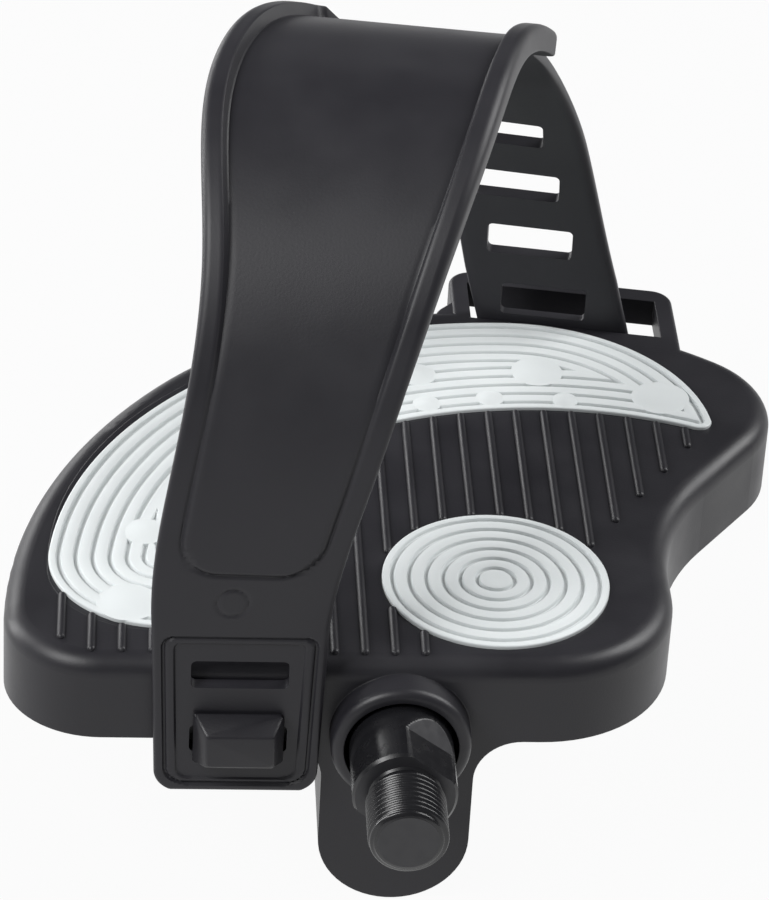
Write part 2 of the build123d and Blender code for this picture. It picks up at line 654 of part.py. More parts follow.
def make_nodes():
    outer, inner, balls, cage, shields = make_bearing()
    bush_outside = BOSS_BORE_DIA - 2 * SEAT_CLEARANCE
    return {
        "pedal_body": make_pedal_body(),
        "crescent_pad": make_crescent_pad(),
        "round_pad": make_round_pad(),
        "strap": make_strap(),
        "spindle": make_spindle(),
        "inboard_seal": ring(bush_outside, JOURNAL_DIA + 2 * SEAL_LIP_CLEARANCE, SEAL_START, BUSH_START),
        "inboard_bush": ring(bush_outside, JOURNAL_DIA + 2 * RUNNING_CLEARANCE, BUSH_START, BUSH_END),
        "bearing_outer_ring": outer,
        "bearing_inner_ring": inner,
        "bearing_balls": Compound(children=balls),
        "bearing_cage": cage,
        "bearing_shield_inboard": shields[0],
        "bearing_shield_outboard": shields[1],
        "lock_washer": ring(WASHER_DIA, BEARING_BORE, BEARING_END, WASHER_END),
        "lock_nut": make_lock_nut(),
        "dust_cap": make_dust_cap(),
        "counterweight": make_counterweight(),
        "counterweight_cover": make_counterweight_cover(),
        "cover_screws": make_cover_screws(),
    }


def main():
    os.makedirs("parts", exist_ok=True)
    for name, shape in make_nodes().items():
        export_step(shape, os.path.join("parts", name + ".step"))


main()
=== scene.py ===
"""The looks of an exercise-bike platform pedal: finishes, fine meshes, light and camera.

Sizes are in millimetres in the part's own frame, and MM turns them into the scene's metres.
X points to the heel, Y along the spindle away from the crank, Z up. Angles are in degrees.
"""

import json
import math
from typing import NamedTuple

import bmesh
import bpy
import numpy as np
from mathutils import Matrix, Vector
from mathutils.geometry import delaunay_2d_cdt


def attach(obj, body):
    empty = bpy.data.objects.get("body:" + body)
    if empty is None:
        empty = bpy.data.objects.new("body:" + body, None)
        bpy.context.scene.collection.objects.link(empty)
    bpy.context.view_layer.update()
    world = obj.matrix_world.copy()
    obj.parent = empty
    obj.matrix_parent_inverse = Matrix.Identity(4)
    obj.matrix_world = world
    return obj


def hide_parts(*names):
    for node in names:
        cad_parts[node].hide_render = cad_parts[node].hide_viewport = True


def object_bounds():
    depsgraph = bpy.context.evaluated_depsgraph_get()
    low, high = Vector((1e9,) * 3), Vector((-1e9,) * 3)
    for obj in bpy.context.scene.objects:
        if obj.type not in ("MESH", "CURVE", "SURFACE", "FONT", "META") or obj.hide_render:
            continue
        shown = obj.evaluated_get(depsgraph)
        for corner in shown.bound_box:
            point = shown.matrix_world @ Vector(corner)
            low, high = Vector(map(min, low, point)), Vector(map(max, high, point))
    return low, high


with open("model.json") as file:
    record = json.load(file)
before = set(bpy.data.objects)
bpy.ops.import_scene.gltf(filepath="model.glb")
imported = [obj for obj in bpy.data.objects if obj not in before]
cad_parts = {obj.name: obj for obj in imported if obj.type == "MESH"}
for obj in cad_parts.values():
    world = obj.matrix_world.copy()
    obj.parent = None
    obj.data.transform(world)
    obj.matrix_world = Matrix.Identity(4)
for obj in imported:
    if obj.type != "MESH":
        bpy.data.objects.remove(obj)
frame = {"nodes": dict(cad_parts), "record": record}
cad_low, cad_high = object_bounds()

MM = 0.001
UP = np.array((0, 0, 1.0))

# Camera, placed as the photo was taken
IMAGE_WIDTH, IMAGE_HEIGHT = 769, 900
CAMERA_PLACE = (-52.9, -583.7, 458.3)
CAMERA_YAW = 4.48
CAMERA_PITCH = 33.41
CAMERA_ROLL = 3.37
CAMERA_FOCAL_PIXELS = 4273
SENSOR_WIDTH = 36.0
CLIP_START, CLIP_END = 10.0, 50000.0

# Stage: a floor that the camera sees as nearly white, and the room's own light
FLOOR_GAP = 0.3
FLOOR_SIZE = 6000.0
FLOOR_COLOUR = (0.30, 0.30, 0.31, 1)
FLOOR_ROUGHNESS = 0.9
FLOOR_WHITE_SHARE = 0.95
FLOOR_GLOSS_SHARE = 1.0
WORLD_COLOUR = (0.96, 0.97, 1.0, 1)
WORLD_LIGHT = 0.14
# Soft lamps: place, point aimed at, width and height, power in watts
LAMPS = {
    "left_lamp": ((-600, -350, 700), (0, 60, 20), (500, 500), 8.6),
    "right_lamp": ((600, 250, 550), (0, 60, 20), (400, 600), 6.4),
    "edge_lamp": ((-750, 400, 250), (0, 60, 40), (200, 600), 4.0),
    "back_lamp": ((-450, 800, 220), (0, 60, 10), (500, 350), 2.0),
}

# Finishes: the noise values that looks are spread over, the size of clouds and marks, and gloss
NOISE_LOW, NOISE_HIGH = 0.3, 0.7
CLOUD_SIZE, CLOUD_DETAIL = 14.0, 3.0
METAL_CLOUD_SIZE, METAL_CLOUD_DETAIL = 3.0, 4.0
METAL_MARK_SIZE, METAL_MARK_DEPTH = 0.25, 0.004
STEEL_CLOUD_SIZE, STEEL_CLOUD_DETAIL = 2.0, 3.0
STEEL_CLOUD_LOW, STEEL_CLOUD_HIGH = 0.85, 1.15
STEEL_GRAIN_SIZE, STEEL_GRAIN_DEPTH = 0.3, 0.003
FINE_DETAIL = 2.0
EDGE_SAMPLES = 6
MOULDED_SPECULAR = 0.4
STEEL_SPECULAR = 0.55
RUNOUT_SPECULAR = 0.12
# How square to the spindle a face is, where a run-out begins and is whole, and an end face likewise
RUNOUT_SQUARE = (0.2, 0.35)
END_SQUARE = (0.92, 0.98)
# Painted shade in the pads' grooves and round their edges: two heights over the platform, and the tone
# below
PAD_SHADE = (0.12, 0.55, 0.82)
# Plastics and rubbers: two colours, range of roughness, size and depth of the grain, rounding of edges, and
# for the pads painted shade
MOULDED = {
    "black_plastic": dict(dark=(0.0135, 0.013, 0.0162), light=(0.0175, 0.017, 0.0208),
                          rough=(0.36, 0.46), grain=0.35, grain_depth=0.02, edge=0.35),
    "strap_rubber": dict(dark=(0.0145, 0.014, 0.0176), light=(0.0195, 0.019, 0.023),
                         rough=(0.42, 0.50), grain=0.5, grain_depth=0.015),
    "pale_pad": dict(dark=(0.64, 0.672, 0.675), light=(0.68, 0.712, 0.715),
                     rough=(0.40, 0.50), grain=0.4, grain_depth=0.01, shade=PAD_SHADE),
    "seal_rubber": dict(dark=(0.012, 0.012, 0.012), light=(0.018, 0.018, 0.018),
                        rough=(0.6, 0.7), grain=0.4, grain_depth=0.02),
    "bush_plastic": dict(dark=(0.62, 0.60, 0.52), light=(0.70, 0.68, 0.60),
                         rough=(0.45, 0.55), grain=0.4, grain_depth=0.01),
    "cage_plastic": dict(dark=(0.42, 0.30, 0.17), light=(0.50, 0.38, 0.22),
                         rough=(0.45, 0.55), grain=0.4, grain_depth=0.01),
}
# Black steel: colour and roughness along the bar, and on its ends and run-outs
BLACKENED = {
    "black_steel": dict(bar=(0.009, 0.009, 0.0105), faced=(0.023, 0.023, 0.026),
                        bar_rough=0.25, faced_rough=0.45),
}
# Bare and plated metals: two colours, range of roughness, share of metal
MACHINED = {
    "bearing_steel": dict(dark=(0.55, 0.56, 0.58), light=(0.66, 0.67, 0.69),
                          rough=(0.18, 0.28), metallic=1.0),
    "zinc_steel": dict(dark=(0.48, 0.49, 0.51), light=(0.60, 0.61, 0.64),
                       rough=(0.28, 0.42), metallic=1.0),
    "weight_iron": dict(dark=(0.12, 0.12, 0.125), light=(0.20, 0.20, 0.205),
                        rough=(0.55, 0.75), metallic=0.8),
}

# Meshes: points joined and slivers dropped below these distances in metres, and edges shaded sharp
JOIN_DISTANCE = 1e-7
SLIVER_DISTANCE = 1e-8
SHARP_ANGLE = 32.0
SPINDLE_SHARP_ANGLE = 20.0

# Tread: the platform's top and the section of its two pale pads
TOP = 14.6
PAD_PROUD = 0.7
PAD_TOP = TOP + PAD_PROUD
PAD_SEAT = 1.2
PAD_CROWN = 0.06
FIRST_GROOVE = 1.8
GROOVE_PITCH = 3.08
GROOVE_WIDTH = 1.08
GROOVE_DEPTH = 0.66
# The pads' rounded rim: place in from the edge, depth below the top
PAD_RIM = ((0, 0.32), (0.05, 0.16), (0.16, 0.05), (0.34, 0))
# One side of a groove, from its brink to its floor: shares of half its width and of its depth
GROOVE_SIDE = ((1.25, 0), (1, 0.06), (0.8, 0.3), (0.58, 0.82), (0.3, 1))

# Round pad
ROUND_PAD_CENTRE = np.array((17.8, 44.3))
ROUND_PAD_RADIUS = 20.6
ROUND_PAD_MIDDLE = 0.5
ROUND_GROOVES = 6
ROUND_SEGMENTS = 224


class CrescentPlan(NamedTuple):
    """A crescent's toe centre, and the radii of its arcs."""
    nose: float
    toe_centre: np.ndarray
    toe_left: float
    toe_right: float
    hollow: float
    outer: float
    inner: float


# Crescent pad and its seat, with the points on each arc of an outline
NOSE_CENTRE = np.array((25.27, 94.44))
INNER_CENTRE = np.array((30.0, 26.0))
NOSE_TIP = 2.5
SEAT_PLAN = CrescentPlan(nose=37.3, toe_centre=np.array((-44.04, 47.42)), toe_left=18.9, toe_right=18.9,
                         hollow=30.0, outer=83.1, inner=75.3)
TREAD_PLAN = CrescentPlan(nose=37.8, toe_centre=np.array((-41.75, 49.85)), toe_left=21.1, toe_right=17.4,
                          hollow=34.0, outer=87.9, inner=75.6)
NOSE_POINTS, OUTER_POINTS, TOE_LEFT_POINTS, TOE_RIGHT_POINTS = 70, 130, 80, 60
HOLLOW_POINTS, INNER_POINTS, TIP_POINTS = 50, 120, 16
SEAT_WIDTH = 3.6
SEAT_LAP = 0.1
SEAT_FALL = 0.3
CRESCENT_GROOVES = 5
LAST_GROOVE = FIRST_GROOVE + CRESCENT_GROOVES * GROOVE_PITCH
LAST_GROOVE_FLOOR = 0.45
# The middle's fill: spacing of its points, their least distance from its rim, points taken as one
FILL_SPACING = 0.22
FILL_MARGIN = 0.6 * FILL_SPACING
FILL_SAME_POINT = 1e-4
FILL_TOLERANCE = 1e-5
LEAST_SQUARE = 1e-9
# Domes on the crescent pad: place in plan, radius
DOMES = [(30.5, 114.3, 5.0), (8.4, 102.2, 2.7), (20.7, 104.6, 2.7), (35.2, 104.3, 2.5),
         (53.8, 105.6, 5.6), (7.0, 112.5, 3.8), (-45.5, 57.8, 4.0), (-48.5, 35.6, 5.6)]
DOME_RISE = 0.55
DOME_POWER = 1.5
DOME_TIP = 0.05
DOME_RINGS = 16
DOME_SEGMENTS = 64

# Round crests over the platform's moulded ribs, clear of both pads and of the smooth heel
RIB_FIRST = -60.16
RIB_PITCH = 5.35
RIB_COUNT = 23
RIB_HALF_WIDTH = 0.45
RIB_RADIUS = 0.76
RIB_NEAR = 22.3
RIB_PAD_GAP = 1.0
RIB_END_DECIMALS = 1
HEEL_LINE = ((6.7, 44.3), (36.0, 56.5), (60.0, 94.5))
# Ribs at the toe: near ends at the rounded corner, far ends where the pad's edge leaves the seat's
TOE_RIB_NEAR = (25.9, 22.4)
TOE_RIB_FAR = (38.2, 32.1, 29.0, 27.8, 27.9, 29.8, 34.2, 75.4, 83.0)
# A crest's section: how far it goes on below its middle, its points, and the rounding of its ends
RIB_SINK = 25.0
RIB_COLUMNS = 13
RIB_END_ANGLES = (0, 20, 40, 60, 75, 90)
RIB_TIP = 0.03

# Near strap button: left, right, place along Y, bottom and top of its back and front
BUTTON_HEAD = ((-36.9, -20.6, 15.3, -4.6, 6.3), (-34.5, -22.6, 10.8, -2.6, 4.15))
BUTTON_ROOT = ((-38.2, -19.8, 21.5, -5.2, -1.6), (-38.2, -19.8, 18.7, -5.2, -1.6))
HULL_EDGE = 0.45
HULL_EDGE_SEGMENTS = 3

# Web at the far loop's left: its corners in plan, its bottom and top
LOOP_WEB = ((10.5, 132.0), (15.9, 131.0), (15.9, 141.8), (12.6, 138.2))
LOOP_WEB_HEIGHTS = (9.2, 14.3)

# Spindle: crank thread, relief at its root, collar with two spanner flats, inside length
THREAD_RADIUS = 7.144
THREAD_LENGTH = 12.7
THREAD_PITCH = 1.27
THREAD_DEPTH = 0.46
THREAD_CHAMFER = 1.5
THREAD_CHAMFER_SLOPE = 1.4
THREAD_CREST_CUT = 0.1
THREAD_STEP = 0.05
THREAD_FIRST = 0.2
THREAD_START = 0.5
END_FACE_SHARE = 0.5
END_EDGE_WIDTH, END_EDGE_LENGTH = 0.25, 0.1
RELIEF_RADIUS = 6.2
RELIEF_LENGTH = 1.5
RELIEF_STEP = 0.3
RELIEF_FILLET = 0.35
COLLAR_RADIUS = 9.25
COLLAR_LENGTH = 20.0
COLLAR_CHAMFER = 0.5
FLAT_HALF = 7.5
FLAT_LENGTH = 7.8
FLAT_ANGLE = 54.0
FLAT_COLUMNS, ROUND_COLUMNS = 28, 40
LEAST_SLANT = 0.1
RUNOUT_LENGTH = 4.0
RUNOUT_RINGS = 30
# Place along the spindle, radius
SPINDLE_INSIDE = [(20.0, 8.0), (42.8, 8.0), (54.8, 6.25), (118.0, 6.25), (118.0, 4.95),
                  (132.5, 4.95), (133.2, 4.25)]

# Strap: straight near tab, curved length and straight far tab
STRAP_HALF = 1.5
NEAR_TOP = np.array((-29.0, 16.9, 24.0))
NEAR_TAB_LENGTH = 35.3
NEAR_END_WIDTH = 28.8
NEAR_TOP_WIDTH = 30.9
FAR_TOP = np.array((32.2, 134.6, 25.4))
FAR_WIDTH = 30.0
FAR_TURN = -9.5
FAR_LEAN = 15.0
FAR_TAB_DROP = 30.8
# The curved length's middle line: place, width, turn about Z, roll
STRAP_PATH = [
    ((-24.4, 19.1, 53.8), 34.6, -5.7, 0.7),
    ((-16.7, 32.5, 86.5), 41.0, -9.1, 1.5),
    ((-12.2, 54.5, 103.1), 50.5, -10.9, 2.4),
    ((-5.2, 80.4, 105.2), 51.2, -12.0, 3.0),
    ((5.3, 104.1, 93.2), 47.3, -15.0, 2.2),
    ((15.4, 122.6, 74.2), 38.0, -14.8, 1.1),
    ((25.5, 131.6, 50.9), 30.0, -12.5, 0.4),
]
PATH_STEPS = 1500
STRAP_CORNER = 4.0
OUTER_ROUND = 0.8
RIM_ROUND = 1.7
INNER_ROUND = 0.45
FAR_ROUND = 2.4
FAR_ROUND_SHARE = 0.4

# Strap slots: width and height, then distance along the strap and shift across it
NEAR_SLOT = (17.2, 5.8)
FAR_SLOT = (16.7, 6.9)
NEAR_SLOTS = ((11.5, 0.2), (25.4, 0.2))
FAR_SLOTS = ((288.8, -1.2), (274.5, -0.6), (260.2, -0.6), (245.5, -0.6), (230.0, 0.3))
SLOT_CORNER = 1.0
SLOT_CORNER_POINTS = 6
SLOT_REACH = 5.0

# Strap relief: raised rims up to the neck, and the long panel between them
RIM_WIDTH = 4.2
RIM_RISE = 1.8
RIM_GROWTH = (52.5, 115.5)
RIM_END = 182.6
RIM_END_ROUND = 1.5
NECK_DEPTH = 4.3
NECK_LENGTH = 52.0
PANEL_START = 46.6
PANEL_RISE = 0.55
PANEL_FALL = 1.05
PANEL_FADE = (70.5, 118.5)
PANEL_CORNER = 7.0
PANEL_SLOPE = 0.4
PANEL_CREASE = 0.42
CREASE_WIDTH = 0.8
CREASE_FADE = 0.55
# Tab panels: a groove round a sunk field, with corner radii at the strap's end and at the other end
TAB_PANEL_EDGE = 1.8
TAB_PANEL_LENGTH = 31.6
TAB_GROOVE_INSET = 2.0
TAB_GROOVE_CORNERS = (3.2, 2.0)
TAB_GROOVE_DEPTH = 0.45
TAB_GROOVE_SLOPE = (0.15, 0.45)
TAB_FIELD_INSET = 3.7
TAB_FIELD_MARGIN = 0.9
TAB_FIELD_CORNERS = (2.4, 1.4)
TAB_FIELD_DEPTH = 0.4
TAB_FIELD_SLOPE = 0.4
# Ring mark over the near tab: shift across, distance along, radius
MARK_PLACE = (-1.7, 40.9)
MARK_RADIUS = 2.7
MARK_DEPTH = 0.22
MARK_SLOPE = (0.1, 0.45)

# Strap mesh: columns by their distance in from an edge, and evenly over the middle
EDGE_COLUMNS = (0.0, 0.1, 0.25, 0.45, 0.75, 1.15, 1.55, 1.75, 1.95, 2.15, 2.35, 2.6, 3.0, 3.4, 3.65,
                3.85, 4.05, 4.25, 4.45, 4.7, 5.2, 6.0, 7.0)
MIDDLE_COLUMNS = 40
INNER_COLUMNS = (0.0, 0.08, 0.2, 0.35, 0.6, 1.0, 1.5, 2.0, 2.6, 3.4)
INNER_MIDDLE = 12
COLUMN_MARGIN = 2.0
# Rows by their distance from an end and from the rims' end, and the steps between rows elsewhere
END_ROWS = np.array((0, 0.06, 0.2, 0.45, 0.8, 1.2))
RIM_END_ROWS = np.array((-2, -1.5, -1.2, -0.9, -0.6, -0.35, -0.15, -0.05, -0.005, 0.005, 0.3, 0.8))
NEAR_ROWS = (1.5, 58.0)
FAR_ROWS = (36.0, 1.3)
RIM_ROWS_MARGIN = (2.5, 1.5)
NEAR_STEP, RIM_STEP, NECK_STEP, FAR_STEP = 0.3, 1.1, 1.2, 0.6
ROW_DECIMALS = 3


def new_material(name):
    """A node material with its Principled shader."""
    material = bpy.data.materials.new(name)
    material.use_nodes = True
    tree = material.node_tree
    return material, tree, tree.nodes["Principled BSDF"]


def add(tree, kind, **settings):
    """A node with its plain properties set."""
    made = tree.nodes.new(kind)
    for key, value in settings.items():
        setattr(made, key, value)
    return made


def noise(tree, coordinates, feature, detail=FINE_DETAIL):
    """Noise with features of a given size in millimetres."""
    made = add(tree, "ShaderNodeTexNoise")
    made.inputs["Scale"].default_value = 1 / (feature * MM)
    made.inputs["Detail"].default_value = detail
    tree.links.new(coordinates, made.inputs["Vector"])
    return made.outputs["Fac"]


def rise(tree, value, low, high, least=0.0, most=1.0):
    """A value's rise from one place to another, between two amounts."""
    made = add(tree, "ShaderNodeMapRange")
    made.inputs["From Min"].default_value = low
    made.inputs["From Max"].default_value = high
    made.inputs["To Min"].default_value = least
    made.inputs["To Max"].default_value = most
    tree.links.new(value, made.inputs["Value"])
    return made.outputs["Result"]


def spread(tree, value, low, high):
    """A noise value spread between two numbers."""
    return rise(tree, value, NOISE_LOW, NOISE_HIGH, low, high)


def tint(tree, value, dark, light):
    """A colour between two, by a 0 to 1 value."""
    made = add(tree, "ShaderNodeMix", data_type="RGBA")
    made.inputs["A"].default_value = (*dark, 1)
    made.inputs["B"].default_value = (*light, 1)
    tree.links.new(value, made.inputs["Factor"])
    return made.outputs["Result"]


def calculate(tree, operation, first, second=None):
    """A sum over one or two values."""
    made = add(tree, "ShaderNodeMath", operation=operation)
    tree.links.new(first, made.inputs[0])
    if second:
        tree.links.new(second, made.inputs[1])
    return made.outputs[0]


def parts_of(tree, vector):
    """A vector's X, Y and Z."""
    made = add(tree, "ShaderNodeSeparateXYZ")
    tree.links.new(vector, made.inputs[0])
    return made.outputs


def bump(tree, shader, height, depth, edge=0.0):
    """A bump of a given depth in millimetres on the shader's normal, over edges of a given rounding."""
    made = add(tree, "ShaderNodeBump")
    made.inputs["Distance"].default_value = depth * MM
    tree.links.new(height, made.inputs["Height"])
    if edge:
        rounded = add(tree, "ShaderNodeBevel", samples=EDGE_SAMPLES)
        rounded.inputs["Radius"].default_value = edge * MM
        tree.links.new(rounded.outputs["Normal"], made.inputs["Normal"])
    tree.links.new(made.outputs["Normal"], shader.inputs["Normal"])


def shaded_below(tree, colour, place, low, high, tone):
    """A colour made darker below a height over the platform's top: painted shade in grooves and along
    edges.
    """
    height = parts_of(tree, place)["Z"]
    made = add(tree, "ShaderNodeMix", data_type="RGBA", blend_type="MULTIPLY")
    made.inputs["B"].default_value = (tone, tone, tone, 1)
    depth = rise(tree, height, (TOP + low) * MM, (TOP + high) * MM, 1, 0)
    tree.links.new(depth, made.inputs["Factor"])
    tree.links.new(colour, made.inputs["A"])
    return made.outputs["Result"]


def moulded(name, dark, light, rough, grain, grain_depth, edge=0.0, shade=None):
    """A moulded plastic or rubber: cloudy colour, uneven gloss and a fine surface grain."""
    material, tree, shader = new_material(name)
    place = add(tree, "ShaderNodeTexCoord").outputs["Object"]
    cloud = noise(tree, place, CLOUD_SIZE, CLOUD_DETAIL)
    colour = tint(tree, spread(tree, cloud, 0, 1), dark, light)
    # Painted shade: the pad's colour darkens in its grooves and down its edges
    if shade:
        colour = shaded_below(tree, colour, place, *shade)
    tree.links.new(colour, shader.inputs["Base Color"])
    tree.links.new(spread(tree, cloud, *rough), shader.inputs["Roughness"])
    shader.inputs["Specular IOR Level"].default_value = MOULDED_SPECULAR
    bump(tree, shader, noise(tree, place, grain), grain_depth, edge)
    return material


def machined(name, dark, light, rough, metallic):
    """A machined or plated metal with fine turning marks and uneven gloss."""
    material, tree, shader = new_material(name)
    place = add(tree, "ShaderNodeTexCoord").outputs["Object"]
    cloud = noise(tree, place, METAL_CLOUD_SIZE, METAL_CLOUD_DETAIL)
    tree.links.new(tint(tree, spread(tree, cloud, 0, 1), dark, light), shader.inputs["Base Color"])
    tree.links.new(spread(tree, cloud, *rough), shader.inputs["Roughness"])
    shader.inputs["Metallic"].default_value = metallic
    bump(tree, shader, noise(tree, place, METAL_MARK_SIZE), METAL_MARK_DEPTH)
    return material


def blackened(name, bar, faced, bar_rough, faced_rough):
    """Black steel: glossy along the bar, paler and duller on its ends and on the flats' run-outs."""
    material, tree, shader = new_material(name)
    coordinates = add(tree, "ShaderNodeTexCoord").outputs
    place = coordinates["Object"]
    square = calculate(tree, "ABSOLUTE", parts_of(tree, coordinates["Normal"])["Y"])
    along = rise(tree, parts_of(tree, place)["Y"], COLLAR_CHAMFER * MM, FLAT_LENGTH * MM)
    runout = calculate(tree, "MULTIPLY", along, rise(tree, square, *RUNOUT_SQUARE))
    share = calculate(tree, "MAXIMUM", runout, rise(tree, square, *END_SQUARE))
    tree.links.new(tint(tree, share, bar, faced), shader.inputs["Base Color"])
    cloud = noise(tree, place, STEEL_CLOUD_SIZE, STEEL_CLOUD_DETAIL)
    rough = calculate(tree, "MULTIPLY", rise(tree, share, 0, 1, bar_rough, faced_rough),
                      spread(tree, cloud, STEEL_CLOUD_LOW, STEEL_CLOUD_HIGH))
    tree.links.new(rough, shader.inputs["Roughness"])
    specular = rise(tree, runout, 0, 1, STEEL_SPECULAR, RUNOUT_SPECULAR)
    tree.links.new(specular, shader.inputs["Specular IOR Level"])
    bump(tree, shader, noise(tree, place, STEEL_GRAIN_SIZE), STEEL_GRAIN_DEPTH)
    return material


FINISHES = {}
for make_finish, looks in ((moulded, MOULDED), (blackened, BLACKENED), (machined, MACHINED)):
    for finish_name, look in looks.items():
        FINISHES[finish_name] = make_finish(finish_name, **look)


def dress_cad_nodes():
    """Each CAD node takes the finish of its material slot in the record."""
    for part in frame["record"]["subparts"]:
        mesh = frame["nodes"][part["node"]].data
        mesh.materials.clear()
        mesh.materials.append(FINISHES[part["material_slot"]])


def make_mesh(name, points, faces):
    """A clean mesh from points in millimetres."""
    mesh = bpy.data.meshes.new(name)
    mesh.from_pydata([tuple(p) for p in np.asarray(points) * MM], [], faces)
    work = bmesh.new()
    work.from_mesh(mesh)
    bmesh.ops.remove_doubles(work, verts=work.verts, dist=JOIN_DISTANCE)
    bmesh.ops.dissolve_degenerate(work, edges=work.edges, dist=SLIVER_DISTANCE)
    bmesh.ops.recalc_face_normals(work, faces=work.faces)
    work.to_mesh(mesh)
    work.free()
    return mesh


def place_piece(name, mesh, body, slot, node=None, sharp=SHARP_ANGLE):
    """A shaded piece that rides a body, takes a finish and may stand for a CAD node."""
    mesh.shade_smooth()
    mesh.set_sharp_from_angle(angle=math.radians(sharp))
    mesh.materials.clear()
    mesh.materials.append(FINISHES[slot])
    piece = bpy.data.objects.new(name, mesh)
    bpy.context.scene.collection.objects.link(piece)
    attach(piece, body)
    if node:
        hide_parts(node)


def band_faces(rings, columns):
    """Faces between closed rings of points, with a face over each end."""
    faces = []
    for ring in range(rings - 1):
        for column in range(columns):
            following = (column + 1) % columns
            a, b = ring * columns, (ring + 1) * columns
            faces.append((a + column, a + following, b + following, b + column))
    faces.append(tuple(range(columns))[::-1])
    faces.append(tuple(range((rings - 1) * columns, rings * columns)))
    return faces


def joined(shapes):
    """The points and faces of several shapes as one."""
    points, faces = [], []
    for shape_points, shape_faces in shapes:
        start = len(points)
        points += list(shape_points)
        faces += [tuple(start + i for i in face) for face in shape_faces]
    return points, faces


def smooth_step(low, high, value):
    """A smooth rise from 0 to 1 between two values."""
    share = np.clip((np.asarray(value, float) - low) / (high - low), 0, 1)
    return share * share * (3 - 2 * share)


def level_ring(outline, height):
    """An outline in plan, lifted to a height."""
    return np.column_stack([outline, np.full(len(outline), height)])


def circle(centre, radius, segments):
    """Points round a centre in plan."""
    turns = np.linspace(0, 2 * math.pi, segments, endpoint=False)
    return np.asarray(centre) + radius * np.column_stack([np.cos(turns), np.sin(turns)])


def pad_section(grooves):
    """A pad's section from its foot over the rim and the grooves: place in from the edge, height."""
    groove = [(-place, depth) for place, depth in GROOVE_SIDE] + list(GROOVE_SIDE[::-1])
    section = [(0, TOP - PAD_SEAT)] + [(inset, PAD_TOP - depth) for inset, depth in PAD_RIM]
    for index in range(grooves):
        middle = FIRST_GROOVE + index * GROOVE_PITCH
        section += [(middle + place * GROOVE_WIDTH / 2, PAD_TOP - depth * GROOVE_DEPTH)
                    for place, depth in groove]
        section.append((middle + GROOVE_PITCH / 2, PAD_TOP + PAD_CROWN))
    return section


def add_round_pad():
    """The round tread with its ring grooves."""
    section = pad_section(ROUND_GROOVES) + [(ROUND_PAD_RADIUS - ROUND_PAD_MIDDLE, PAD_TOP)]
    rings = [level_ring(circle(ROUND_PAD_CENTRE, ROUND_PAD_RADIUS - inset, ROUND_SEGMENTS), height)
             for inset, height in section]
    mesh = make_mesh("round_tread", np.vstack(rings), band_faces(len(rings), ROUND_SEGMENTS))
    place_piece("round_tread", mesh, "platform", "pale_pad", "round_pad")


def toward(start, aim, distance):
    """The point at a distance from a start, in the direction of another point."""
    direction = aim - start
    return start + direction / np.linalg.norm(direction) * distance


def centre_between(first, first_distance, second, second_distance):
    """The point at given distances from two points, to the right of the line between them."""
    span = np.linalg.norm(second - first)
    foot = (first_distance ** 2 - second_distance ** 2 + span ** 2) / (2 * span)
    aside = math.sqrt(first_distance ** 2 - foot ** 2)
    unit = (second - first) / span
    return first + unit * foot + np.array((unit[1], -unit[0])) * aside


def arc_points(centre, start, end, count, clockwise=False):
    """Points about a centre from a start up to, and without, an end."""
    first = math.atan2(*(start - centre)[::-1])
    sweep = (math.atan2(*(end - centre)[::-1]) - first) % (2 * math.pi)
    if clockwise:
        sweep -= 2 * math.pi
    turns = first + sweep * np.arange(count) / count
    return centre + np.linalg.norm(start - centre) * np.column_stack([np.cos(turns), np.sin(turns)])


def crescent_outline(inset, plan=TREAD_PLAN):
    """The outline of the crescent pad or its seat, drawn in by an inset, always with as many points."""
    toe, nose = plan.toe_centre, NOSE_CENTRE
    outer = centre_between(toe, plan.outer - plan.toe_left, nose, plan.outer - plan.nose)
    right = toe - np.array((0, plan.toe_left - plan.toe_right))
    hollow = centre_between(INNER_CENTRE, plan.inner - plan.hollow, right, plan.hollow + plan.toe_right)
    if inset < NOSE_TIP:
        tip = centre_between(INNER_CENTRE, plan.inner + NOSE_TIP, nose, plan.nose - NOSE_TIP)
        nose_start = toward(nose, tip, plan.nose - inset)
        inner_end = toward(INNER_CENTRE, tip, plan.inner + inset)
        tip_points = arc_points(tip, inner_end, nose_start, TIP_POINTS)
    else:
        nose_start = centre_between(INNER_CENTRE, plan.inner + inset, nose, plan.nose - inset)
        inner_end = nose_start
        tip_points = np.repeat(nose_start[None], TIP_POINTS, axis=0)
    nose_end = toward(outer, nose, plan.outer - inset)
    toe_start = toward(outer, toe, plan.outer - inset)
    toe_foot = toe - np.array((0, plan.toe_left - inset))
    toe_end = toward(right, hollow, plan.toe_right - inset)
    inner_join = toward(INNER_CENTRE, hollow, plan.inner + inset)
    return np.vstack([
        arc_points(nose, nose_start, nose_end, NOSE_POINTS),
        arc_points(outer, nose_end, toe_start, OUTER_POINTS),
        arc_points(toe, toe_start, toe_foot, TOE_LEFT_POINTS),
        arc_points(right, toe_foot, toe_end, TOE_RIGHT_POINTS),
        arc_points(hollow, toe_end, inner_join, HOLLOW_POINTS, clockwise=True),
        arc_points(INNER_CENTRE, inner_join, inner_end, INNER_POINTS, clockwise=True),
        tip_points,
    ])


def outline_distance(points, outline):
    """How far points lie from a closed outline."""
    nearest = np.full(len(points), np.inf)
    for a, b in zip(outline, np.roll(outline, -1, axis=0)):
        along = b - a
        share = np.clip((points - a) @ along / max(along @ along, LEAST_SQUARE), 0, 1)
        nearest = np.minimum(nearest, np.linalg.norm(points - a - share[:, None] * along, axis=1))
    return nearest


